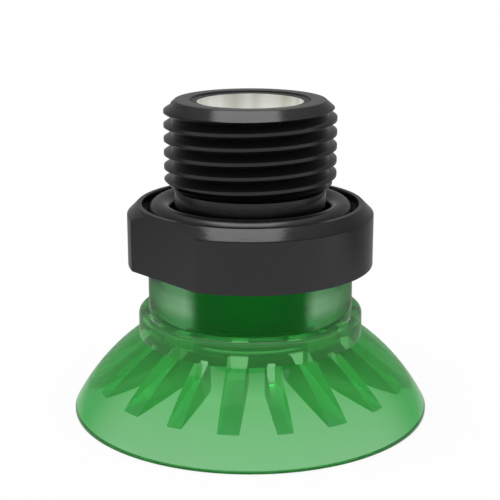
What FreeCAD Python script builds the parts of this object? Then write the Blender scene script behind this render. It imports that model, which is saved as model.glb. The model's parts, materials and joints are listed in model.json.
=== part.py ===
import FreeCAD, Part
import Sketcher
import math
import os

# A flat concave vacuum cup on a G3/8 male fitting. Millimetres and degrees, +Z up,
# with the origin on the cup's axis in the plane that its lip rests on.

SIZES = {
    # Cup: one polyurethane moulding. Heights are measured up from the lip's plane.
    "lip_d": 35.2,
    "lip_edge_height": 0.3,
    "lip_land": 0.6,
    "skirt_outer_radius": 21.0,
    "skirt_inner_radius": 50.0,
    "collar_step": 1.0,
    "collar_foot_height": 7.6,
    "collar_top_height": 10.1,
    "collar_round": 0.45,
    "neck_d": 20.1,
    "cup_height": 14.75,
    "roof_d": 15.6,
    "roof_height": 7.7,
    # Ribs under the skirt, wide and narrow in turn, each tapering to a nose at its inner end.
    "rib_pairs": 9,
    "rib_setback": 1.8,
    "rib_end_cover": 0.66,
    "rib_root_depth": 0.8,
    "rib_slope": 16.5,
    "rib_nose": 0.7,
    "wide_rib_gap": 0.97,
    "wide_rib_nose_width": 1.4,
    "wide_rib_inner_width": 1.75,
    "wide_rib_outer_width": 2.0,
    "narrow_rib_gap": 2.62,
    "narrow_rib_nose_width": 0.65,
    "narrow_rib_inner_width": 1.3,
    "narrow_rib_outer_width": 1.5,
    # Threaded body: glass-filled polyamide, moulded round the core.
    "flange_height": 6.0,
    "flange_chamfer": 1.0,
    "flange_over_flats": 1.0,
    "wrench_flat_wall": 0.45,
    "seal_room": 0.6,
    "seal_recess_depth": 1.95,
    "relief_depth": 0.981,
    "relief_height": 1.4,
    "thread_d": 16.662,
    "thread_length": 10.0,
    "thread_pitch": 1.337,
    "thread_depth": 0.8,
    "thread_crest": 0.3,
    "thread_lead_height": 0.95,
    "thread_lead_depth": 1.081,
    # Core: a turned aluminium sleeve, from the top face down through the cup's neck.
    "core_bore_d": 10.26,
    "core_wall": 0.65,
    "core_top_recess": 0.15,
    "core_end_recess": 0.1,
    "anchor_depth": 1.12,
    "anchor_rise": 2.0,
    "anchor_height": 1.5,
    "barb_depth": 0.67,
    "barb_rise": 0.55,
    "barb_land": 0.3,
    "barb_lead": 0.9,
    "filter_seat_step": 0.27,
    "filter_seat_depth": 1.5,
    # Filter: a stainless screen and the ring that holds it in the core's lower end.
    "screen_thickness": 0.3,
    "screen_pitch": 1.2,
    "screen_opening": 0.8,
    "filter_ring_wall": 0.8,
    "filter_ring_height": 0.8,
    # Seal ring: a round-section rubber ring in the flange's recess.
    "seal_slack": 0.4,
    "seal_section_d": 2.2,
    # Clearances: each is on the radius, or between two faces.
    "core_fit": 0.02,
    "cup_fit": 0.05,
    "filter_fit": 0.03,
    "seal_fit": 0.02,
}

SCREEN_REACH = 3

os.makedirs("parts", exist_ok=True)
doc = FreeCAD.newDocument("vacuum_cup")
sheet = doc.addObject("Spreadsheet::Sheet", "Sizes")
for row, (alias, size) in enumerate(SIZES.items(), start=1):
    sheet.set(f"A{row}", alias)
    sheet.set(f"B{row}", str(size))
    sheet.setAlias(f"B{row}", alias)
doc.recompute()


def cell(alias):
    """The expression that reads one size from the sheet."""
    return f"Sizes.{alias}"


def radius(alias):
    """Half of a diameter in the sheet, as an expression."""
    return f"(Sizes.{alias} / 2)"


def value(expression):
    """What an expression on the sheet comes to, as a plain number."""
    return float(sheet.evalExpression(expression))


def origin_plane(body, role):
    """One of a body's own origin planes, by its role."""
    return [f for f in body.Origin.OriginFeatures if f.Role == role][0]


def new_sketch(body, name, role):
    """A sketch on one of the body's origin planes."""
    sketch = body.newObject("Sketcher::SketchObject", name)
    sketch.AttachmentSupport = [(origin_plane(body, role), "")]
    sketch.MapMode = "FlatFace"
    return sketch


def pin(sketch, side, end, kind, expression):
    """Hold one end of a side at a distance from the sketch's origin."""
    if expression == "0":
        sketch.addConstraint(Sketcher.Constraint("PointOnObject", side, end, -1))
        return
    datum = Sketcher.Constraint(kind, -1, 1, side, end, value(expression))
    index = sketch.addConstraint(datum)
    sketch.setExpression(f"Constraints[{index}]", expression)


def arc_side(start, finish, bend):
    """An arc from start to finish and whether it runs anticlockwise.

    A positive bend bows the arc to the right of its way, a negative one to the left.
    """
    chord = finish - start
    half = chord.Length / 2
    left = FreeCAD.Vector(-chord.y, chord.x, 0).normalize()
    towards = 1 if bend > 0 else -1
    centre = start + chord * 0.5 + left * towards * math.sqrt(bend**2 - half**2)
    angles = [math.atan2(p.y - centre.y, p.x - centre.x) for p in (start, finish)]
    anticlockwise = bend > 0
    first, last = angles if anticlockwise else reversed(angles)
    circle = Part.Circle(centre, FreeCAD.Vector(0, 0, 1), abs(bend))
    if last < first:
        last += 2 * math.pi
    return Part.ArcOfCircle(circle, first, last), anticlockwise


def draw_loop(sketch, corners, arcs=None):
    """A closed loop of sides, each corner pinned by two expressions.

    arcs gives, for the side that starts at a corner, its radius and which way it bows.
    """
    arcs = arcs or {}
    points = [FreeCAD.Vector(value(x), value(y), 0) for x, y in corners]
    sides = []
    for number, start in enumerate(points):
        finish = points[(number + 1) % len(points)]
        if number in arcs:
            expression, bow = arcs[number]
            curve, forward = arc_side(start, finish, bow * value(expression))
            side = sketch.addGeometry(curve, False)
            index = sketch.addConstraint(Sketcher.Constraint("Radius", side, value(expression)))
            sketch.setExpression(f"Constraints[{index}]", expression)
        else:
            forward = True
            side = sketch.addGeometry(Part.LineSegment(start, finish), False)
        sides.append((side, 1 if forward else 2, 2 if forward else 1))
    for number, (side, begin, end) in enumerate(sides):
        following, next_begin, _ = sides[(number + 1) % len(sides)]
        sketch.addConstraint(Sketcher.Constraint("Coincident", side, end, following, next_begin))
        x, y = corners[number]
        pin(sketch, side, begin, "DistanceX", x)
        pin(sketch, side, begin, "DistanceY", y)


def revolved_body(name, corners, arcs=None):
    """A body turned about the Z axis from one closed outline of (radius, height) corners."""
    body = doc.addObject("PartDesign::Body", name)
    sketch = new_sketch(body, f"{name}_outline", "XZ_Plane")
    draw_loop(sketch, corners, arcs)
    turned = body.newObject("PartDesign::Revolution", f"{name}_turned")
    turned.Profile = sketch
    turned.ReferenceAxis = (sketch, ["V_Axis"])
    turned.Angle = 360
    body.Tip = turned
    doc.recompute()
    return body


# Heights and radii that more than one piece is set out from.
FLANGE_FOOT = cell("cup_height")
FLANGE_TOP = f"({FLANGE_FOOT} + {cell('flange_height')})"
FITTING_TOP = f"({FLANGE_TOP} + {cell('thread_length')})"
THREAD_FOOT = f"({FLANGE_TOP} + {cell('relief_height')})"
SEAL_FLOOR = f"({FLANGE_TOP} - {cell('seal_recess_depth')})"
CORE_END = f"({cell('roof_height')} + {cell('core_end_recess')})"
ANCHOR_FOOT = f"({FLANGE_FOOT} + {cell('anchor_rise')})"
ANCHOR_TOP = f"({ANCHOR_FOOT} + {cell('anchor_height')})"
BARB_START = f"({CORE_END} + {cell('barb_rise')})"
BARB_FOOT = f"({BARB_START} + {cell('barb_lead')})"
BARB_TOP = f"({BARB_FOOT} + {cell('barb_land')})"
FILTER_SEAT = f"({CORE_END} + {cell('filter_seat_depth')})"
LIP_INNER_R = f"({radius('lip_d')} - {cell('lip_land')})"
COLLAR_R = f"({radius('neck_d')} + {cell('collar_step')})"
CORE_R = f"({radius('core_bore_d')} + {cell('core_wall')})"
ANCHOR_R = f"({CORE_R} + {cell('anchor_depth')})"
BARB_R = f"({CORE_R} + {cell('barb_depth')})"
FILTER_SEAT_R = f"({radius('core_bore_d')} + {cell('filter_seat_step')})"
RELIEF_R = f"({radius('thread_d')} - {cell('relief_depth')})"
SEAL_BORE_R = f"({RELIEF_R} + {cell('seal_slack')})"
SEAL_RECESS_R = f"({SEAL_BORE_R} + {cell('seal_section_d')} + {cell('seal_room')})"
WRENCH_FLAT_R = f"({SEAL_RECESS_R} + {cell('wrench_flat_wall')})"
FLANGE_R = f"({WRENCH_FLAT_R} + {cell('flange_over_flats')})"


def grown(expression, fit):
    """A radius or height with one clearance added."""
    return f"({expression} + {cell(fit)})"


def lowered(expression, fit):
    """A radius or height with one clearance taken off."""
    return f"({expression} - {cell(fit)})"


def cut_thread(body):
    """The right-hand V groove, from the relief below the thread out through its top.

    The cutter starts clear of the thread, half a pitch below its foot, and stands out
    past the crest by half the crest's width.
    """
    whole_volume = body.Shape.Volume
    start = f"({THREAD_FOOT} - {cell('thread_pitch')} / 2)"
    over = f"({cell('thread_crest')} / 2)"
    root = f"({radius('thread_d')} - {cell('thread_depth')})"
    outside = f"({radius('thread_d')} + {over})"
    groove = f"({cell('thread_pitch')} - {cell('thread_crest')})"
    half = f"({groove} / 2 * (1 + {over} / {cell('thread_depth')}))"
    sketch = new_sketch(body, "thread_groove_outline", "XZ_Plane")
    draw_loop(sketch, [(root, start), (outside, f"({start} - {half})"), (outside, f"({start} + {half})")])
    thread = body.newObject("PartDesign::SubtractiveHelix", "thread_groove")
    thread.Profile = sketch
    thread.ReferenceAxis = (sketch, ["V_Axis"])
    thread.Mode = "pitch-height-angle"
    thread.setExpression("Pitch", cell("thread_pitch"))
    thread.setExpression("Height", f"{FITTING_TOP} - {start} + {cell('thread_pitch')}")
    body.Tip = thread
    doc.recompute()
    print("thread groove takes off", round(whole_volume - body.Shape.Volume, 3), "cubic mm")


def make_threaded_body():
    """Male thread, relief, seal recess and flange, with two flats for a wrench."""
    bore = grown(CORE_R, "core_fit")
    anchor = grown(ANCHOR_R, "core_fit")
    corners = [
        (bore, FLANGE_FOOT),
        (FLANGE_R, FLANGE_FOOT),
        (FLANGE_R, f"({FLANGE_TOP} - {cell('flange_chamfer')})"),
        (f"({FLANGE_R} - {cell('flange_chamfer')})", FLANGE_TOP),
        (SEAL_RECESS_R, FLANGE_TOP),
        (SEAL_RECESS_R, SEAL_FLOOR),
        (RELIEF_R, SEAL_FLOOR),
        (RELIEF_R, THREAD_FOOT),
        (radius("thread_d"), f"({THREAD_FOOT} + {cell('relief_depth')})"),
        (radius("thread_d"), f"({FITTING_TOP} - {cell('thread_lead_height')})"),
        (f"({radius('thread_d')} - {cell('thread_lead_depth')})", FITTING_TOP),
        (bore, FITTING_TOP),
        (bore, grown(ANCHOR_TOP, "core_fit")),
        (anchor, grown(ANCHOR_TOP, "core_fit")),
        (anchor, lowered(ANCHOR_FOOT, "core_fit")),
        (bore, lowered(ANCHOR_FOOT, "core_fit")),
    ]
    body = revolved_body("threaded_body", corners)
    round_volume = body.Shape.Volume
    sketch = new_sketch(body, "wrench_flats_outline", "XY_Plane")
    sketch.setExpression("AttachmentOffset.Base.z", FLANGE_FOOT)
    for way in ("", "-"):
        flat = f"{way}{WRENCH_FLAT_R}"
        rim = f"{way}{FLANGE_R}"
        ends = (f"-{FLANGE_R}", FLANGE_R)
        draw_loop(sketch, [(ends[0], flat), (ends[1], flat), (ends[1], rim), (ends[0], rim)])
    flats = body.newObject("PartDesign::Pocket", "wrench_flats")
    flats.Profile = sketch
    flats.Reversed = True
    flats.setExpression("Length", cell("flange_height"))
    body.Tip = flats
    doc.recompute()
    print("wrench flats take off", round(round_volume - body.Shape.Volume, 3), "cubic mm")
    cut_thread(body)
    return body


def make_core():
    """Sleeve with an anchor rib inside the threaded body and a barb inside the cup's neck."""
    top = f"({FITTING_TOP} - {cell('core_top_recess')})"
    corners = [
        (FILTER_SEAT_R, CORE_END),
        (CORE_R, CORE_END),
        (CORE_R, BARB_START),
        (BARB_R, BARB_FOOT),
        (BARB_R, BARB_TOP),
        (CORE_R, BARB_TOP),
        (CORE_R, ANCHOR_FOOT),
        (ANCHOR_R, ANCHOR_FOOT),
        (ANCHOR_R, ANCHOR_TOP),
        (CORE_R, ANCHOR_TOP),
        (CORE_R, top),
        (radius("core_bore_d"), top),
        (radius("core_bore_d"), FILTER_SEAT),
        (FILTER_SEAT_R, FILTER_SEAT),
    ]
    return revolved_body("core", corners)


def make_cup_shell():
    """Lip, skirt, collar and neck in one outline, with a barbed hole for the core."""
    shoulder = cell("collar_top_height")
    rounding = cell("collar_round")
    hole = grown(CORE_R, "cup_fit")
    barb = grown(BARB_R, "cup_fit")
    corners = [
        (LIP_INNER_R, "0"),
        (radius("lip_d"), "0"),
        (radius("lip_d"), cell("lip_edge_height")),
        (COLLAR_R, cell("collar_foot_height")),
        (COLLAR_R, f"({shoulder} - {rounding})"),
        (f"({COLLAR_R} - {rounding})", shoulder),
        (radius("neck_d"), shoulder),
        (radius("neck_d"), FLANGE_FOOT),
        (hole, FLANGE_FOOT),
        (hole, grown(BARB_TOP, "cup_fit")),
        (barb, grown(BARB_TOP, "cup_fit")),
        (barb, lowered(BARB_FOOT, "cup_fit")),
        (hole, lowered(BARB_START, "cup_fit")),
        (hole, cell("roof_height")),
        (radius("roof_d"), cell("roof_height")),
    ]
    skirt_outside = 2
    collar_rounding = 4
    skirt_inside = len(corners) - 1
    arcs = {
        skirt_outside: (cell("skirt_outer_radius"), 1),
        collar_rounding: (rounding, 1),
        skirt_inside: (cell("skirt_inner_radius"), -1),
    }
    return revolved_body("cup_shell", corners, arcs)


def rib_wedge(name, turn, near, far):
    """A wedge along +Y between two stations of a rib, turned about Z.

    Each station is a radius and a width. The root follows the skirt's inner chord, a
    little way inside the wall, and the underside runs out of that wall at the rib's end.
    """
    rib_end = f"({LIP_INNER_R} - {cell('rib_setback')})"
    chord = f"{cell('roof_height')} / ({LIP_INNER_R} - {radius('roof_d')})"
    end_foot = f"({LIP_INNER_R} - {rib_end}) * {chord} + {cell('rib_end_cover')}"
    wedge = doc.addObject("Part::Wedge", name)
    for end, (station, width) in (("", near), ("2", far)):
        wedge.setExpression("Ymax" if end else "Ymin", station)
        wedge.setExpression(f"X{end}min", f"-{width} / 2")
        wedge.setExpression(f"X{end}max", f"{width} / 2")
        foot = f"{end_foot} + ({rib_end} - {station}) * tan({cell('rib_slope')} * 1deg)"
        wedge.setExpression(f"Z{end}min", foot)
        root = f"({LIP_INNER_R} - {station}) * {chord} + {cell('rib_root_depth')}"
        wedge.setExpression(f"Z{end}max", root)
    wedge.Placement.Rotation = FreeCAD.Rotation(FreeCAD.Vector(0, 0, 1), 1)
    wedge.setExpression("Placement.Rotation.Angle", f"{turn} * 1deg")
    return wedge


def make_rib(name, kind, turn):
    """One rib: a long wedge, narrower and deeper towards the middle, and its short nose."""
    tip = f"({CORE_R} + {cell(kind + '_rib_gap')})"
    nose = (tip, cell(f"{kind}_rib_nose_width"))
    shoulder = (f"({tip} + {cell('rib_nose')})", cell(f"{kind}_rib_inner_width"))
    end = (f"({LIP_INNER_R} - {cell('rib_setback')})", cell(f"{kind}_rib_outer_width"))
    return [
        rib_wedge(name, turn, shoulder, end),
        rib_wedge(f"{name}_nose", turn, nose, shoulder),
    ]


def make_cup():
    """The shell with its ring of ribs, fused as the one moulding that it is."""
    shell = make_cup_shell()
    pitch = f"360 / {cell('rib_pairs')}"
    ribs = []
    for pair in range(int(SIZES["rib_pairs"])):
        ribs += make_rib(f"narrow_rib_{pair}", "narrow", f"{pitch} * {pair}")
        ribs += make_rib(f"wide_rib_{pair}", "wide", f"{pitch} * ({pair} + 0.5)")
    cup = doc.addObject("Part::MultiFuse", "cup")
    cup.Shapes = [shell] + ribs
    cup.Refine = True
    doc.recompute()
    return cup


def make_seal_ring():
    """Round-section ring on the floor of the flange's recess."""
    ring = doc.addObject("Part::Torus", "seal_ring")
    ring.setExpression("Radius1", f"{SEAL_BORE_R} + {radius('seal_section_d')}")
    ring.setExpression("Radius2", radius("seal_section_d"))
    ring.setExpression("Placement.Base.z", f"{SEAL_FLOOR} + {radius('seal_section_d')} + {cell('seal_fit')}")
    return ring


def make_filter_screen():
    """Thin round screen against the core's seat, with a grid of square openings."""
    foot = f"({FILTER_SEAT} - {cell('screen_thickness')})"
    disc = doc.addObject("Part::Cylinder", "screen_disc")
    disc.setExpression("Radius", lowered(FILTER_SEAT_R, "filter_fit"))
    disc.setExpression("Height", cell("screen_thickness"))
    disc.setExpression("Placement.Base.z", foot)
    openings = []
    reach = range(-SCREEN_REACH, SCREEN_REACH + 1)
    for column in reach:
        for line in reach:
            if math.hypot(column, line) > SCREEN_REACH + 0.2:
                continue
            opening = doc.addObject("Part::Box", "screen_opening")
            for side in ("Length", "Width"):
                opening.setExpression(side, cell("screen_opening"))
            opening.setExpression("Height", cell("screen_thickness"))
            for axis, step in (("x", column), ("y", line)):
                place = f"{cell('screen_pitch')} * {step} - {cell('screen_opening')} / 2"
                opening.setExpression(f"Placement.Base.{axis}", place)
            opening.setExpression("Placement.Base.z", foot)
            openings.append(opening)
    grid = doc.addObject("Part::Compound", "screen_grid")
    grid.Links = openings
    screen = doc.addObject("Part::Cut", "filter_screen")
    screen.Base = disc
    screen.Tool = grid
    return screen


def make_filter_ring():
    """Push-in ring that holds the screen against its seat."""
    top = f"({FILTER_SEAT} - {cell('screen_thickness')})"
    foot = f"({top} - {cell('filter_ring_height')})"
    outer = lowered(FILTER_SEAT_R, "filter_fit")
    bore = f"({FILTER_SEAT_R} - {cell('filter_ring_wall')})"
    return revolved_body("filter_ring", [(bore, foot), (outer, foot), (outer, top), (bore, top)])


nodes = {
    "threaded_body": make_threaded_body(),
    "core": make_core(),
    "seal_ring": make_seal_ring(),
    "cup": make_cup(),
    "filter_screen": make_filter_screen(),
    "filter_ring": make_filter_ring(),
}
doc.recompute()

for thing in doc.Objects:
    if {"Invalid", "Error"} & set(thing.State):
        raise RuntimeError(f"{thing.Name} failed: {thing.State}")
for label, node in nodes.items():
    node.Label = label
    if node.Shape.isNull() or not node.Shape.isValid():
        raise RuntimeError(f"{label} has no valid shape")
    box = node.Shape.BoundBox
    print(label, len(node.Shape.Solids), "solid, volume", round(node.Shape.Volume, 2),
          "z", round(box.ZMin, 3), "to", round(box.ZMax, 3))
for label, node in nodes.items():
    node.Shape.exportStep(f"parts/{label}.step")
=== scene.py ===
import json
import math

import bmesh
import bpy
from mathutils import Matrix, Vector

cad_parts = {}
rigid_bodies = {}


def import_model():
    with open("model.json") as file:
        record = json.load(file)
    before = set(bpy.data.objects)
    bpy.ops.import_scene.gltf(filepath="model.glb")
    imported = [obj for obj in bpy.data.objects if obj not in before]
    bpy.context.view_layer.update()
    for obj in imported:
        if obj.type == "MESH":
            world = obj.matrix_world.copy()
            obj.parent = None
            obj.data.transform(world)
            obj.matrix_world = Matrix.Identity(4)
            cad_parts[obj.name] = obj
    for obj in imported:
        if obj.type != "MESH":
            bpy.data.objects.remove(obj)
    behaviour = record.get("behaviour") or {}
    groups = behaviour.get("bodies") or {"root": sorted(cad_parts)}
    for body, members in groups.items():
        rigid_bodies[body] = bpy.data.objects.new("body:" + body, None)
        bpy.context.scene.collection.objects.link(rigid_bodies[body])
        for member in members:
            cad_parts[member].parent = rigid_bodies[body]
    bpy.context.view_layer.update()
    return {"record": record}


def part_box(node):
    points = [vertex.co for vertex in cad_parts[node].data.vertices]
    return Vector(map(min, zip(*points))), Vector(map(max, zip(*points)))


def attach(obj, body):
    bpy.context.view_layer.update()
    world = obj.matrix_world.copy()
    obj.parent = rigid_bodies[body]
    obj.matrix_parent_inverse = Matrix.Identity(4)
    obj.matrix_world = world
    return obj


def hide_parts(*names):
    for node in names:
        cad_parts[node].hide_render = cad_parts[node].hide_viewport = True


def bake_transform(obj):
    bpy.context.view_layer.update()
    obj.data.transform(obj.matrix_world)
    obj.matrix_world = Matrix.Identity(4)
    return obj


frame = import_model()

# Core: the sleeve that carries the vacuum from the thread's end down into the cup.
# It is turned from bright aluminium, with a rib that the threaded body is moulded
# round and a barb that the cup's neck snaps over.

# Sizes are typed in mm, and MM makes them metres. Points nearer than SEAM are one point.
MM = 0.001
SEAM = 0.0005
TURN_STEPS = 216
ROUND_STEPS = 6
SMOOTH_ANGLE = math.radians(30)
mounts = {mount["name"]: mount for mount in frame["record"]["mounts"]}
core_foot, core_top = (corner.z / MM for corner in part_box("core"))
core_bore = mounts["vacuum_port"]["dims"]["r_mm"]
core_radius = 5.78
anchor_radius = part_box("core")[1].x / MM
anchor_foot, anchor_top = 16.75, 18.25
barb_radius = 6.45
barb_start, barb_foot, barb_top = 8.35, 9.25, 9.55
filter_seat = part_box("filter_screen")[1].z / MM
filter_seat_radius = 5.4
core_edge = 0.08
core_silver = (0.92, 0.92, 0.89)
# Colours of the painted reflection streaks inside the bore.
reflection_streak_dark, reflection_streak_light = (0.74, 0.74, 0.68), (1.0, 1.0, 0.98)
end_shade_black = (0.02, 0.02, 0.02)


def pick(piece, kind, test):
    """In edit mode, select only the verts or faces whose middle, in mm, passes a test."""
    bpy.ops.mesh.select_mode(type={"verts": "VERT", "faces": "FACE"}[kind])
    bpy.ops.mesh.select_all(action="DESELECT")
    shape = bmesh.from_edit_mesh(piece.data)
    for part in getattr(shape, kind):
        corners = [part] if kind == "verts" else part.verts
        middle = sum((corner.co for corner in corners), Vector()) / len(corners)
        part.select_set(test(middle / MM))
    shape.select_flush_mode()
    bmesh.update_edit_mesh(piece.data)


def merge_all():
    """In edit mode, make one of points that lie together, and leave everything selected."""
    bpy.ops.mesh.select_all(action="SELECT")
    bpy.ops.mesh.remove_doubles(threshold=SEAM * MM)


def draw_outline(name, corners):
    """A new piece in edit mode: one point drawn out round an outline of (radius, height) in mm.

    A corner with a third number is rounded by that much.
    """
    bpy.ops.object.select_all(action="DESELECT")
    bpy.ops.mesh.primitive_plane_add(size=MM)
    piece = bpy.context.object
    piece.name = name
    bpy.ops.object.mode_set(mode="EDIT")
    bpy.ops.mesh.select_mode(type="VERT")
    bpy.ops.mesh.merge(type="CENTER")
    points = [Vector((corner[0], 0, corner[1])) * MM for corner in corners]
    bpy.ops.transform.translate(value=points[0])
    for here, following in zip(points, points[1:] + points[:1]):
        bpy.ops.mesh.extrude_region_move(TRANSFORM_OT_translate={"value": following - here})
    merge_all()
    for corner in corners:
        if len(corner) == 3:
            place = Vector((corner[0], 0, corner[1]))
            pick(piece, "verts", lambda middle: (middle - place).length < SEAM)
            bpy.ops.mesh.bevel(offset=corner[2] * MM, segments=ROUND_STEPS, affect="VERTICES")
    return piece


def turn_outline():
    """Spin the outline in edit mode a full turn about Z, close its seam and face it outwards."""
    bpy.ops.mesh.select_all(action="SELECT")
    bpy.ops.mesh.spin(steps=TURN_STEPS, angle=2 * math.pi, center=(0, 0, 0), axis=(0, 0, 1))
    merge_all()
    bpy.ops.mesh.normals_make_consistent(inside=False)
    bpy.ops.object.mode_set(mode="OBJECT")
    bpy.ops.object.shade_smooth_by_angle(angle=SMOOTH_ANGLE)


class Shade:
    """A socket in a tree of shader nodes. Operators on it add Math nodes."""

    def __init__(self, tree, socket=None):
        self.tree = tree
        self.socket = socket

    def node(self, kind, settings=None, sockets=None, output=0):
        """A new node: its settings are set first, then its sockets' values or links."""
        made = self.tree.nodes.new("ShaderNode" + kind)
        for name, setting in (settings or {}).items():
            setattr(made, name, setting)
        for name, given in (sockets or {}).items():
            socket = made.inputs[name]
            if isinstance(given, Shade):
                self.tree.links.new(given.socket, socket)
            elif socket.type == "RGBA":
                socket.default_value = (*given, 1)
            else:
                socket.default_value = given
        return Shade(self.tree, made.outputs[output] if made.outputs else None)

    def maths(self, operation, first, second):
        """A Math node on two values."""
        return self.node("Math", {"operation": operation}, {0: first, 1: second})

    def mixed(self, share, first, second):
        """A Mix node on two colours, which are its sockets 6 and 7. At a share of 1 it gives the second."""
        return self.node("Mix", {"data_type": "RGBA"}, {0: share, 6: first, 7: second}, 2)

    def rise(self, foot, top):
        """0 where this value is below one limit, 1 above another, and a smooth step between."""
        return self.node("MapRange", {"interpolation_type": "SMOOTHSTEP"},
                         {"Value": self, "From Min": foot, "From Max": top})

    def parts(self):
        """This vector's parts along X, Y and Z."""
        return [self.node("SeparateXYZ", sockets={"Vector": self}, output=axis) for axis in "XYZ"]

    def __add__(self, other):
        return self.maths("ADD", self, other)

    def __radd__(self, other):
        return self.maths("ADD", other, self)

    def __sub__(self, other):
        return self.maths("SUBTRACT", self, other)

    def __rsub__(self, other):
        return self.maths("SUBTRACT", other, self)

    def __mul__(self, other):
        return self.maths("MULTIPLY", self, other)

    def __rmul__(self, other):
        return self.maths("MULTIPLY", other, self)


def new_finish(name):
    """An empty material and its node tree."""
    material = bpy.data.materials.new(name)
    material.use_nodes = True
    material.node_tree.nodes.clear()
    return material, Shade(material.node_tree)


def speckle(shade, grain, detail=2.0):
    """Noise on the piece's own coordinates, with a grain in mm along X, Y and Z."""
    place = shade.node("TexCoord", output="Object")
    scale = tuple(1 / (size * MM) for size in grain)
    mapped = shade.node("Mapping", sockets={"Vector": place, "Scale": scale})
    return shade.node("TexNoise", sockets={"Vector": mapped, "Scale": 1.0, "Detail": detail})


core = draw_outline("core_sleeve", [
    (filter_seat_radius, core_foot, core_edge),
    (core_radius, core_foot, core_edge),
    (core_radius, barb_start),
    (barb_radius, barb_foot, core_edge),
    (barb_radius, barb_top, core_edge),
    (core_radius, barb_top),
    (core_radius, anchor_foot),
    (anchor_radius, anchor_foot, core_edge),
    (anchor_radius, anchor_top, core_edge),
    (core_radius, anchor_top),
    (core_radius, core_top, core_edge),
    (core_bore, core_top, core_edge),
    (core_bore, filter_seat),
    (filter_seat_radius, filter_seat),
])
turn_outline()

aluminium, shade = new_finish("bright_turned_aluminium")
across, along, height = shade.node("TexCoord", output="Object").parts()
wall_middle = (core_bore + core_radius) / 2 * MM
bore_wall = shade.maths("LESS_THAN", across * across + along * along, wall_middle**2)
end_face = shade.maths("GREATER_THAN", height, (core_top - core_edge) * MM)
# Painted reflection: the bore's wall carries light and dark streaks along it, standing in for reflections of
# the surroundings.
painted_reflection_streaks = shade.node("MapRange", sockets={
    "Value": speckle(shade, (1.9, 1.9, 80.0), 1.0), "From Min": 0.35, "From Max": 0.65})
painted_streaks = shade.mixed(painted_reflection_streaks, reflection_streak_dark, reflection_streak_light)
bright = shade.mixed(bore_wall, core_silver, painted_streaks)
# Painted shade: the core's end face is painted black, standing in for a dark ring at the bore's mouth.
colour = shade.mixed(end_face, bright, end_shade_black)
clouding = speckle(shade, (2.5, 2.5, 2.5))
tool_marks = speckle(shade, (6.0, 6.0, 0.03))
marks = shade.node("Bump", sockets={"Height": tool_marks, "Strength": 0.25, "Distance": 0.004 * MM})
surface = shade.node("BsdfPrincipled", sockets={
    "Base Color": colour, "Metallic": 1 - end_face, "Roughness": 0.38 + 0.14 * clouding, "Normal": marks})
shade.node("OutputMaterial", sockets={"Surface": surface})
core.data.materials.append(aluminium)
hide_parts("core")
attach(core, "fitting")

# Threaded body: black glass-filled polyamide, injection moulded round the core.
# It has a male pipe thread with a lead chamfer, a relief below it, a recess for the
# seal ring and a round flange with two flats for a wrench.
flange_foot, body_top = (corner.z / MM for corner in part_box("threaded_body"))
flange_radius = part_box("threaded_body")[1].x / MM
flat_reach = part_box("threaded_body")[1].y / MM
flange_height = 6.0
flange_top = flange_foot + flange_height
flange_chamfer = 1.0
recess_radius = 10.55
recess_depth = 1.95
recess_floor = flange_top - recess_depth
relief_radius = 7.35
relief_height = 1.4
thread_radius = mounts["male_thread"]["dims"]["r_mm"]
thread_pitch = 1.337
thread_crest = 0.3
thread_depth = 0.8
thread_foot = flange_top + relief_height
lead_height = 0.95
lead_foot = body_top - lead_height
top_face_radius = 7.25
core_fit = 0.02
body_bore = core_radius + core_fit
moulded_edge = 0.06
recess_fillet = 4 * moulded_edge
cutter_reach = 0.15
cutter_turns = 8
block_width, block_depth = 30.0, 10.0
CUT_SMOOTH_ANGLE = math.radians(20)
plastic_dark, plastic_light = (0.0030, 0.0030, 0.0030), (0.0055, 0.0055, 0.0055)

body = draw_outline("threaded_body_moulding", [
    (body_bore, flange_foot),
    (flange_radius, flange_foot, moulded_edge),
    (flange_radius, flange_top - flange_chamfer, moulded_edge),
    (flange_radius - flange_chamfer, flange_top, moulded_edge),
    (recess_radius, flange_top, moulded_edge),
    (recess_radius, recess_floor, moulded_edge),
    (relief_radius, recess_floor, recess_fillet),
    (relief_radius, thread_foot),
    (thread_radius, thread_foot + thread_radius - relief_radius),
    (thread_radius, lead_foot, moulded_edge),
    (top_face_radius, body_top, moulded_edge),
    (body_bore, body_top, moulded_edge),
    (body_bore, anchor_top + core_fit),
    (anchor_radius + core_fit, anchor_top + core_fit),
    (anchor_radius + core_fit, anchor_foot - core_fit),
    (body_bore, anchor_foot - core_fit),
])
turn_outline()


def new_group(name):
    """An empty collection in the scene, for the shapes that one boolean takes together."""
    group = bpy.data.collections.new(name)
    bpy.context.scene.collection.children.link(group)
    return group


def combine(piece, operation, group):
    """Cut a group's shapes out of a piece, or fuse them with it, delete them and smooth the piece."""
    bpy.ops.object.select_all(action="DESELECT")
    bpy.context.view_layer.objects.active = piece
    piece.select_set(True)
    bpy.ops.object.modifier_add(type="BOOLEAN")
    boolean = piece.modifiers[-1]
    boolean.operation = operation
    boolean.solver = "EXACT"
    boolean.operand_type = "COLLECTION"
    boolean.collection = group
    bpy.ops.object.modifier_apply(modifier=boolean.name)
    for shape in list(group.objects):
        bpy.data.objects.remove(shape)
    bpy.data.collections.remove(group)
    bpy.ops.object.shade_smooth_by_angle(angle=CUT_SMOOTH_ANGLE)


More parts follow.
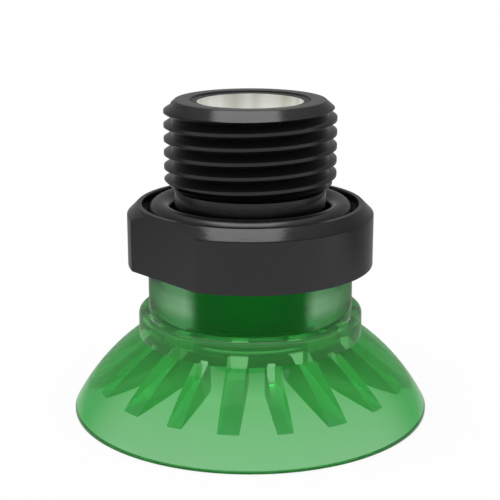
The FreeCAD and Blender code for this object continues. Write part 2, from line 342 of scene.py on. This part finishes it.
groove_half = (thread_pitch - thread_crest) / 2
cutter_half = groove_half * (1 + cutter_reach / thread_depth)
cutter_start = thread_foot - thread_pitch / 2
thread_cutter = draw_outline("thread_cutter", [
    (thread_radius - thread_depth, cutter_start),
    (thread_radius + cutter_reach, cutter_start - cutter_half),
    (thread_radius + cutter_reach, cutter_start + cutter_half),
])
bpy.ops.object.mode_set(mode="OBJECT")
bpy.ops.object.modifier_add(type="SCREW")
screw = thread_cutter.modifiers[-1]
screw.axis = "Z"
screw.angle = 2 * math.pi
screw.screw_offset = thread_pitch * MM
screw.iterations = cutter_turns
screw.steps = TURN_STEPS
screw.render_steps = TURN_STEPS
bpy.ops.object.modifier_apply(modifier=screw.name)
bpy.ops.object.mode_set(mode="EDIT")
merge_all()
bpy.ops.mesh.fill_holes(sides=3)
bpy.ops.mesh.normals_make_consistent(inside=False)
bpy.ops.object.mode_set(mode="OBJECT")
cutters = new_group("body_cutters")
cutters.objects.link(thread_cutter)
for side in (-1, 1):
    bpy.ops.mesh.primitive_cube_add(
        size=MM, scale=(block_width, block_depth, block_width),
        location=(0, side * (flat_reach + block_depth / 2) * MM, flange_foot * MM))
    cutters.objects.link(bpy.context.object)
combine(body, "DIFFERENCE", cutters)

plastic, shade = new_finish("black_glass_filled_plastic")
fibres = speckle(shade, (0.6, 0.6, 0.12), 3.0)
grain = speckle(shade, (0.12, 0.12, 0.12), 3.0)
colour = shade.mixed(grain, plastic_dark, plastic_light)
relief = shade.node("Bump", sockets={"Height": fibres + 0.3 * grain, "Strength": 0.4, "Distance": 0.02 * MM})
surface = shade.node("BsdfPrincipled", sockets={
    "Base Color": colour, "Roughness": 0.06 + 0.20 * fibres, "IOR": 1.44, "Normal": relief})
shade.node("OutputMaterial", sockets={"Surface": surface})
body.data.materials.append(plastic)
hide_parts("threaded_body")
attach(body, "fitting")

# Seal ring: a moulded black rubber ring of round section. It lies on the floor of the
# flange's recess and is squeezed against the port when the thread is tightened.
ring_low, ring_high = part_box("seal_ring")
ring_section = (ring_high.z - ring_low.z) / 2
ring_outside, ring_inside = ring_high.x, ring_high.x - 2 * ring_section
section_steps = 48
flash_reach = 0.02
rubber_dark, rubber_light = (0.004, 0.004, 0.004), (0.008, 0.008, 0.008)

bpy.ops.object.select_all(action="DESELECT")
bpy.ops.mesh.primitive_torus_add(
    location=(0, 0, (ring_low.z + ring_high.z) / 2),
    major_segments=TURN_STEPS, minor_segments=section_steps,
    major_radius=ring_high.x - ring_section, minor_radius=ring_section)
seal = bpy.context.object
seal.name = "seal_ring_moulding"
bpy.ops.object.transform_apply(location=True, rotation=True, scale=True)
bpy.ops.object.mode_set(mode="EDIT")
for edge_radius, reach in ((ring_outside, flash_reach), (ring_inside, -flash_reach)):
    pick(seal, "verts", lambda middle: abs(middle.xy.length - edge_radius / MM) < SEAM)
    growth = 1 + reach * MM / edge_radius
    bpy.ops.transform.resize(value=(growth, growth, 1), center_override=(0, 0, 0))
bpy.ops.object.mode_set(mode="OBJECT")
bpy.ops.object.shade_smooth_by_angle(angle=SMOOTH_ANGLE)

rubber, shade = new_finish("black_nitrile_rubber")
bloom = speckle(shade, (0.6, 0.6, 0.6), 3.0)
pores = speckle(shade, (0.08, 0.08, 0.08))
colour = shade.mixed(bloom, rubber_dark, rubber_light)
skin = shade.node("Bump", sockets={"Height": pores, "Strength": 0.15, "Distance": 0.01 * MM})
surface = shade.node("BsdfPrincipled", sockets={
    "Base Color": colour, "Roughness": 0.20 + 0.10 * bloom, "IOR": 1.48, "Normal": skin})
shade.node("OutputMaterial", sockets={"Surface": surface})
seal.data.materials.append(rubber)
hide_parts("seal_ring")
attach(seal, "fitting")

# Cup: one moulding of clear green polyurethane, pushed over the core up to the flange.
# A ring of ribs, wide and narrow in turn, stands under the curved skirt and keeps it
# from being drawn in flat.
lip_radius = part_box("cup")[1].x / MM
lip_edge = 0.3
lip_land = 0.6
skirt_outer_bend = 21.0
skirt_inner_bend = 50.0
skirt_steps = 36
collar_radius = 11.05
collar_foot, collar_top = 7.6, 10.1
collar_round = 0.45
neck_radius = 10.05
flange_gap = 0.02
neck_top = flange_foot - flange_gap
cup_fit = 0.05
hole_radius = core_radius + cup_fit
barb_hole_radius = barb_radius + cup_fit
roof_radius, roof_height = 7.8, 7.7
cup_edge = 0.06
lip_inner = lip_radius - lip_land
wall_slope = roof_height / (lip_inner - roof_radius)
rib_pairs = 9
rib_setback = 1.8
rib_outer = lip_inner - rib_setback
rib_end_cover = 0.66
rib_end_foot = rib_setback * wall_slope + rib_end_cover
rib_slope = math.tan(math.radians(16.5))
rib_root_depth = 0.8
rib_nose = 0.7
wide_rib = {"gap": 0.97, "nose_width": 1.4, "inner_width": 1.75, "outer_width": 2.0}
narrow_rib = {"gap": 2.62, "nose_width": 0.65, "inner_width": 1.3, "outer_width": 1.5}


def bowed(start, finish, bend):
    """Points between two outline corners, on an arc of radius bend.

    It bows to the right of its way, or to the left if the radius is negative.
    """
    start, finish = Vector(start), Vector(finish)
    chord = finish - start
    left = Vector((-chord.y, chord.x)).normalized()
    sag = math.sqrt(bend**2 - (chord.length / 2)**2)
    centre = (start + finish) / 2 + left * math.copysign(sag, bend)
    swing = math.copysign(2 * math.asin(chord.length / 2 / abs(bend)), bend)
    spoke = start - centre
    points = []
    for step in range(1, skirt_steps):
        angle = swing * step / skirt_steps
        cosine, sine = math.cos(angle), math.sin(angle)
        turned = Vector((spoke.x * cosine - spoke.y * sine, spoke.x * sine + spoke.y * cosine))
        points.append(tuple(centre + turned))
    return points


cup = draw_outline("cup_moulding", [
    (lip_inner, 0, cup_edge),
    (lip_radius, 0, cup_edge),
    (lip_radius, lip_edge),
    *bowed((lip_radius, lip_edge), (collar_radius, collar_foot), skirt_outer_bend),
    (collar_radius, collar_foot),
    (collar_radius, collar_top, collar_round),
    (neck_radius, collar_top, cup_edge),
    (neck_radius, neck_top, cup_edge),
    (hole_radius, neck_top),
    (hole_radius, barb_top + cup_fit),
    (barb_hole_radius, barb_top + cup_fit),
    (barb_hole_radius, barb_foot - cup_fit),
    (hole_radius, barb_start - cup_fit),
    (hole_radius, roof_height),
    (roof_radius, roof_height),
    *bowed((roof_radius, roof_height), (lip_inner, 0), -skirt_inner_bend),
])
turn_outline()


def rib_section(radius):
    """The heights of a rib's underside and of its root, at a radius."""
    foot = rib_end_foot + (rib_outer - radius) * rib_slope
    return foot, (lip_inner - radius) * wall_slope + rib_root_depth


def make_rib(name, gap, nose_width, inner_width, outer_width):
    """One rib along -Y: a block that grows deeper towards the middle, drawn out into a short nose."""
    tip = core_radius + gap
    bpy.ops.object.select_all(action="DESELECT")
    bpy.ops.mesh.primitive_cube_add(size=MM)
    rib = bpy.context.object
    rib.name = name
    bpy.ops.object.mode_set(mode="EDIT")
    for side, radius, width in ((-1, rib_outer, outer_width), (1, tip + rib_nose, inner_width)):
        foot, root = rib_section(radius)
        pick(rib, "faces", lambda middle: abs(middle.y - side / 2) < SEAM)
        bpy.ops.transform.resize(value=(width, 1, root - foot), center_override=(0, 0, 0))
        bpy.ops.transform.translate(value=Vector((0, -radius - side / 2, (root + foot) / 2)) * MM)
    # The inner end is still selected, and foot and root are its heights.
    tip_foot, tip_root = rib_section(tip)
    lift = (tip_foot + tip_root - foot - root) / 2
    bpy.ops.mesh.extrude_region_move(TRANSFORM_OT_translate={"value": Vector((0, rib_nose, lift)) * MM})
    bpy.ops.transform.resize(value=(nose_width / inner_width, 1, (tip_root - tip_foot) / (root - foot)),
                             center_override=Vector((0, -tip, (tip_foot + tip_root) / 2)) * MM)
    bpy.ops.object.mode_set(mode="OBJECT")
    return rib


first_wide = make_rib("wide_rib", **wide_rib)
first_narrow = make_rib("narrow_rib", **narrow_rib)
ribs = new_group("ribs")
for pair in range(rib_pairs):
    for first, turn in ((first_wide, pair), (first_narrow, pair + 0.5)):
        copy = first.copy()
        copy.data = first.data.copy()
        copy.rotation_euler.z = 2 * math.pi * turn / rib_pairs
        ribs.objects.link(copy)
for first in (first_wide, first_narrow):
    bpy.data.objects.remove(first)
combine(cup, "UNION", ribs)

polyurethane, shade = new_finish("clear_green_polyurethane")
flow = speckle(shade, (9.0, 9.0, 4.0))
facing = shade.node("LayerWeight", sockets={"Blend": 0.5}, output="Facing")
across, along, height = shade.node("TexCoord", output="Object").parts()
tilt_x, tilt_y, tilt_z = shade.node("TexCoord", output="Normal").parts()
reach = shade.maths("POWER", across * across + along * along, 0.5)
spread = shade.maths("DIVIDE", across * tilt_y - along * tilt_x, reach)
outward = shade.maths("DIVIDE", across * tilt_x + along * tilt_y, reach)


def beyond(length, start, finish):
    """0 where a length on the cup is below one limit in mm, 1 above another, and a smooth step between."""
    return length.rise(start * MM, finish * MM)


# Each of these is 1 on one part of the moulding and falls off outside it. The squares
# take both sides of a rib, or both its ends, alike.
above_roof = beyond(height, 7.5, 7.7)
rib_sides = (spread * spread).rise(0.5, 0.7)
rib_tips = (outward * outward).rise(0.8, 0.9) * (1 - above_roof) * (1 - beyond(reach, 9.5, 10.0))
rib_feet = (tilt_z * tilt_z).rise(0.75, 0.85) * (1 - above_roof) * beyond(height, 1.0, 1.5)
neck = beyond(height, 9.9, 10.4)
neck_end = beyond(height, 14.5, 14.7)
# The belt at mid-height on the neck where the painted reflection sheen is strongest.
painted_sheen_belt = beyond(height, 10.8, 12.2) * (1 - 0.5 * beyond(height, 12.8, 13.8))
collar = above_roof * (1 - neck) * beyond(reach, 10.5, 10.9)
collar_edge = beyond(height, 9.5, 9.7) * (1 - neck) * beyond(reach, 10.3, 10.5)
hollow_shade_zone = (1 - beyond(reach + 1.05 * height, 17.5, 18.5)) * beyond(height, 4.2, 6.8)
rim = (1 - beyond(height, 0.2, 0.5)) * beyond(reach, 17.1, 17.4)

# The tint of the walls: deeper towards the collar, where it is painted shade of the darker
# floor under the cup seen through the wall, and nearly black on the upper skirt's inner
# face, a painted shade of the hollow. Deeper too at the rim and where a wall is seen edge
# on. The ribs stand inside a tinted wall, so they are nearly clear.
lip_green, shoulder_shade_green = (0.285, 0.515, 0.31), (0.165, 0.495, 0.195)
hollow_shade_green, rim_green, edge_on_green = (0.001, 0.16, 0.010), (0.10, 0.34, 0.13), (0.005, 0.28, 0.03)
collar_green, neck_green = (0.20, 0.50, 0.22), (0.06, 0.53, 0.21)
rib_green, rib_tip_green = (0.80, 0.92, 0.82), (0.55, 0.58, 0.52)
# Painted shade: the skirt darkens towards the collar, for the darker floor under the cup.
skirt = shade.mixed(0.9 * beyond(height, 2.0, 7.5) + 0.1 * flow, lip_green, shoulder_shade_green)
# Painted shade: the upper skirt's inner face, above the hollow, turns nearly black green.
skirt = shade.mixed(hollow_shade_zone, skirt, hollow_shade_green)
skirt = shade.mixed(rim, skirt, rim_green)
skirt = shade.mixed(0.95 * facing.rise(0.25, 0.60), skirt, edge_on_green)
shell = shade.mixed(beyond(height, 7.4, 8.2), skirt, shade.mixed(neck, collar_green, neck_green))
colour = shade.mixed(rib_sides + rib_feet, shell, rib_green)
colour = shade.mixed(rib_tips, colour, rib_tip_green)

# Light that comes up through the lip gathers in the ribs and in the hidden end of the
# neck, and a faint emission stands in for it. The ribs' undersides show it only at the
# slant at which the clear wall mirrors its own inside.
foot_glow_low, foot_glow_high = (0.10, 0.31, 0.145), (0.13, 0.42, 0.195)
tip_glow, neck_end_glow, no_glow = (0.10, 0.11, 0.10), (0.025, 0.12, 0.035), (0.0, 0.0, 0.0)
foot_glow = shade.mixed(beyond(height, 2.8, 4.4), foot_glow_low, foot_glow_high)
mirroring_feet = rib_feet * facing.rise(0.12, 0.25)
gathered = shade.mixed(mirroring_feet + 0.18 * rib_sides, no_glow, foot_glow)
gathered = shade.mixed(rib_tips, gathered, tip_glow)
gathered = shade.mixed(neck_end, gathered, neck_end_glow)

# The clear body has a slight haze, stronger on the ribs' sides. The neck's sides carry a
# painted reflection: a pale sheen where they turn away from the eye, strongest in a belt.
haze_green, collar_haze_green, painted_sheen_green = (0.17, 0.95, 0.23), (0.17, 0.80, 0.21), (0.38, 0.66, 0.41)
clear = shade.node("BsdfPrincipled", sockets={
    "Base Color": colour, "Roughness": 0.02 + 0.03 * flow + 0.06 * neck, "IOR": 1.5,
    "Transmission Weight": 1.0, "Specular Tint": (0.1, 0.1, 0.1),
    "Coat Weight": collar_edge, "Coat Roughness": 0.06,
    "Emission Color": gathered, "Emission Strength": 1.0})
haze = shade.node("BsdfPrincipled", sockets={
    "Base Color": shade.mixed(collar, haze_green, collar_haze_green),
    "Roughness": 0.5, "Specular IOR Level": 0.0})
haze_share = ((1 - 0.9 * neck) * (1 - 0.8 * rib_tips)
              * (0.11 + 0.04 * flow + 0.40 * rib_sides + 0.07 * collar))
hazy = shade.node("MixShader", sockets={0: haze_share, 1: clear, 2: haze})
painted_sheen = shade.node("BsdfPrincipled", sockets={
    "Base Color": painted_sheen_green, "Roughness": 0.5, "Specular IOR Level": 0.0})
painted_sheen_share = neck * facing.rise(0.16, 0.27) * (0.62 - 0.80 * facing) * (0.45 + 1.15 * painted_sheen_belt)
surface = shade.node("MixShader", sockets={0: painted_sheen_share, 1: hazy, 2: painted_sheen})
inside = shade.node("VolumeAbsorption", sockets={"Color": (0.0, 0.61, 0.083), "Density": 200.0})
shade.node("OutputMaterial", sockets={"Surface": surface, "Volume": inside})
cup.data.materials.append(polyurethane)
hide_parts("cup")
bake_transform(cup)

# Filter screen: plain-woven stainless wire, cut to a disc that rests against a step in
# the core's lower end and keeps dirt out of the vacuum line.
screen_low, screen_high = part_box("filter_screen")
screen_radius = screen_high.x / MM
screen_middle = (screen_low.z + screen_high.z) / 2 / MM
wire_radius = 0.07
wire_sides = 10
wire_pitch = 0.6
wire_swing = 0.074
wire_steps = 6
wire_count = int(screen_radius / wire_pitch)
spare_pitches = 3
wave_steps = (wire_count + spare_pitches) * wire_steps
wire_dark, wire_light = (0.50, 0.49, 0.47), (0.63, 0.62, 0.60)

bpy.ops.object.select_all(action="DESELECT")
bpy.ops.mesh.primitive_circle_add(
    vertices=wire_sides, radius=wire_radius * MM, rotation=(0, math.pi / 2, 0))
first_wire = bpy.context.object
first_wire.name = "wire"
bpy.ops.object.transform_apply(location=True, rotation=True, scale=True)
bpy.ops.object.mode_set(mode="EDIT")
bpy.ops.mesh.select_mode(type="VERT")
bpy.ops.mesh.select_all(action="SELECT")
wave = [Vector((step / wire_steps * wire_pitch, 0, wire_swing * math.cos(math.pi * step / wire_steps)))
        for step in range(-wave_steps, wave_steps + 1)]
bpy.ops.transform.translate(value=(wave[0] + Vector((0, 0, screen_middle))) * MM)
for here, following in zip(wave, wave[1:]):
    bpy.ops.mesh.extrude_region_move(TRANSFORM_OT_translate={"value": (following - here) * MM})
bpy.ops.object.mode_set(mode="OBJECT")
bpy.ops.object.shade_smooth()

wires = []
for layer in (0, 1):
    for number in range(-wire_count, wire_count + 1):
        wire = first_wire.copy()
        wire.data = first_wire.data.copy()
        bpy.context.collection.objects.link(wire)
        bpy.ops.object.select_all(action="DESELECT")
        bpy.context.view_layer.objects.active = wire
        wire.select_set(True)
        offset = number * wire_pitch
        end = math.sqrt(screen_radius**2 - offset**2) - wire_radius
        bpy.ops.object.mode_set(mode="EDIT")
        bpy.ops.mesh.select_all(action="SELECT")
        bpy.ops.transform.translate(value=(((number + layer) % 2) * wire_pitch * MM, offset * MM, 0))
        for side in (-1, 1):
            bpy.ops.mesh.select_all(action="SELECT")
            bpy.ops.mesh.bisect(plane_co=(side * end * MM, 0, 0), plane_no=(side, 0, 0),
                                threshold=SEAM * MM, use_fill=True, clear_outer=True)
        if layer:
            bpy.ops.mesh.select_all(action="SELECT")
            bpy.ops.transform.rotate(value=math.pi / 2, orient_axis="Z", center_override=(0, 0, 0))
        bpy.ops.object.mode_set(mode="OBJECT")
        wires.append(wire)
bpy.data.objects.remove(first_wire)
for wire in wires:
    wire.select_set(True)
screen = wires[0]
bpy.context.view_layer.objects.active = screen
bpy.ops.object.join()
screen.name = "filter_screen_weave"
bpy.ops.object.mode_set(mode="EDIT")
bpy.ops.mesh.select_all(action="SELECT")
bpy.ops.mesh.normals_make_consistent(inside=False)
bpy.ops.object.mode_set(mode="OBJECT")

wire_steel, shade = new_finish("drawn_stainless_wire")
dull = speckle(shade, (0.5, 0.5, 0.5), 3.0)
surface = shade.node("BsdfPrincipled", sockets={
    "Base Color": shade.mixed(dull, wire_dark, wire_light),
    "Metallic": 1.0, "Roughness": 0.28 + 0.16 * dull})
shade.node("OutputMaterial", sockets={"Surface": surface})
screen.data.materials.append(wire_steel)
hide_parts("filter_screen")
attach(screen, "fitting")

# Filter ring: turned stainless steel, pushed into the core's lower end to hold the
# screen against its step.
hold_low, hold_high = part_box("filter_ring")
hold_outer = hold_high.x / MM
hold_bore = 4.6
hold_foot, hold_top = hold_low.z / MM, hold_high.z / MM
hold_edge = 0.1
steel_dark, steel_light = (0.54, 0.53, 0.51), (0.64, 0.63, 0.61)

hold = draw_outline("filter_ring_turned", [
    (hold_bore, hold_foot, hold_edge),
    (hold_outer, hold_foot, hold_edge),
    (hold_outer, hold_top, hold_edge),
    (hold_bore, hold_top, hold_edge),
])
turn_outline()

ring_steel, shade = new_finish("turned_stainless_steel")
turning = speckle(shade, (3.0, 3.0, 0.04))
dull = speckle(shade, (1.2, 1.2, 1.2), 3.0)
marks = shade.node("Bump", sockets={"Height": turning, "Strength": 0.25, "Distance": 0.004 * MM})
surface = shade.node("BsdfPrincipled", sockets={
    "Base Color": shade.mixed(dull, steel_dark, steel_light),
    "Metallic": 1.0, "Roughness": 0.24 + 0.12 * dull, "Normal": marks})
shade.node("OutputMaterial", sockets={"Surface": surface})
hold.data.materials.append(ring_steel)
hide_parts("filter_ring")
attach(hold, "fitting")

# Stage: a plain white floor and surroundings, an overhead softbox, and the camera at
# the height, distance and turn that the ellipses of the lip, flange and bore give.
camera_turn = math.radians(47.7)
camera_pitch = math.radians(15.243)
camera_distance = 121.638
camera_height = 48.907
front = Vector((math.sin(camera_turn), -math.cos(camera_turn), 0))
right = Vector((math.cos(camera_turn), math.sin(camera_turn), 0))
floor_width = 4000
floor_drop = 0.05
shadow_share = 0.15
white, floor_white = (1.0, 1.0, 1.0), (0.92, 0.92, 0.92)
floor_mirrored, sky_mirrored_low, sky_mirrored_high = (0.3, 0.3, 0.3), (0.3, 0.3, 0.3), (0.8, 0.8, 0.8)
sky_lighting, sky_repeated_high = (0.55, 0.55, 0.55), (2.4, 2.4, 2.4)


class Rays:
    """Kinds of rays, each 1 for a ray of that kind and 0 for others.

    Shown rays come from the camera or through the cup. Of the others, mirrored ones
    are reflected by one surface, and repeated ones by two or more.
    """

    def __init__(self, shade):
        camera, through, glossy, bounces = (shade.node("LightPath", output=name) for name in (
            "Is Camera Ray", "Is Transmission Ray", "Is Glossy Ray", "Glossy Depth"))
        self.camera = camera
        self.glossy = glossy
        self.shown = shade.maths("MAXIMUM", camera, through)
        self.mirrored = glossy * (1 - self.shown) * shade.maths("LESS_THAN", bounces, 1.5)
        self.repeated = glossy * (1 - self.shown) - self.mirrored


bpy.ops.object.select_all(action="DESELECT")
bpy.ops.mesh.primitive_plane_add(size=floor_width * MM, location=(0, 0, -floor_drop * MM))
floor = bpy.context.object
floor.name = "floor"

# The floor is white to the eye, with a share of its real shadow near the part. Where
# one surface mirrors it, only the half in front of the part is white.
floor_paint, shade = new_finish("white_floor")
rays = Rays(shade)
place = shade.node("TexCoord", output="Object")
distance = shade.node("VectorMath", {"operation": "LENGTH"}, {0: place}, "Value")
near = distance.rise(150 * MM, 50 * MM)
forwards = shade.node("VectorMath", {"operation": "DOT_PRODUCT"}, {0: place, 1: front}, "Value")
ahead = forwards.rise(-30 * MM, 30 * MM)
paint = shade.node("BsdfDiffuse", sockets={"Color": floor_white})
glow = shade.node("Emission", sockets={
    "Color": shade.mixed(rays.mirrored * (1 - ahead), white, floor_mirrored), "Strength": 1.0})
shown_glow = rays.shown - shadow_share * near * rays.camera
glow_share = shade.maths("MAXIMUM", shown_glow, rays.glossy * (1 - rays.camera))
lit = shade.node("MixShader", sockets={0: glow_share, 1: paint, 2: glow})
from_below = shade.node("NewGeometry", output="Backfacing")
seen = shade.node("MixShader", sockets={0: from_below, 1: lit, 2: shade.node("BsdfTransparent")})
shade.node("OutputMaterial", sockets={"Surface": seen})
floor.data.materials.append(floor_paint)

# The surroundings are white to the eye and through the cup. They are dimmer where one
# surface mirrors them, and brighter overhead where two or more do, as in the bore.
world = bpy.data.worlds.new("white_surroundings")
bpy.context.scene.world = world
world.use_nodes = True
world.node_tree.nodes.clear()
shade = Shade(world.node_tree)
rays = Rays(shade)
upwards = shade.node("TexCoord", output="Generated").parts()[2]
sky_mirrored = shade.mixed(upwards.rise(0.5, 0.95), sky_mirrored_low, sky_mirrored_high)
sky_repeated = shade.mixed(upwards.rise(0.1, 0.5), white, sky_repeated_high)
sky = shade.mixed(rays.shown, sky_lighting, white)
sky = shade.mixed(rays.repeated, sky, sky_repeated)
sky = shade.mixed(rays.mirrored, sky, sky_mirrored)
shade.node("OutputWorld", sockets={
    "Surface": shade.node("Background", sockets={"Color": sky, "Strength": 1.0})})

softbox_height = 400 * MM
softbox_radiance = 3.0
softbox_width = 2 * softbox_height * math.tan(math.radians(22))
softbox_depth = 2 * softbox_height * math.tan(math.radians(18))
softbox_ahead = softbox_height * math.tan(math.radians(6))
softbox_left = softbox_height * math.tan(math.radians(3.5))
bpy.ops.object.light_add(type="AREA")
softbox = bpy.context.object
softbox.name = "overhead_softbox"
softbox.data.shape = "RECTANGLE"
softbox.data.size = softbox_width
softbox.data.size_y = softbox_depth
# An area lamp's radiance is a quarter of its power on each square metre.
softbox.data.energy = 4 * softbox_radiance * softbox_width * softbox_depth
softbox.location = Vector((0, 0, softbox_height)) + front * softbox_ahead - right * softbox_left
softbox.rotation_euler = (0, 0, camera_turn)

bpy.ops.object.camera_add(location=(front * camera_distance + Vector((0, 0, camera_height))) * MM,
                          rotation=(math.pi / 2 - camera_pitch, 0, camera_turn))
camera = bpy.context.object
camera.data.lens = 92.2
camera.data.sensor_width = 36
camera.data.shift_x = -0.0007
camera.data.shift_y = 0.001
camera.data.clip_start = 1 * MM
bpy.context.scene.camera = camera
bpy.context.scene.view_settings.view_transform = "Standard"
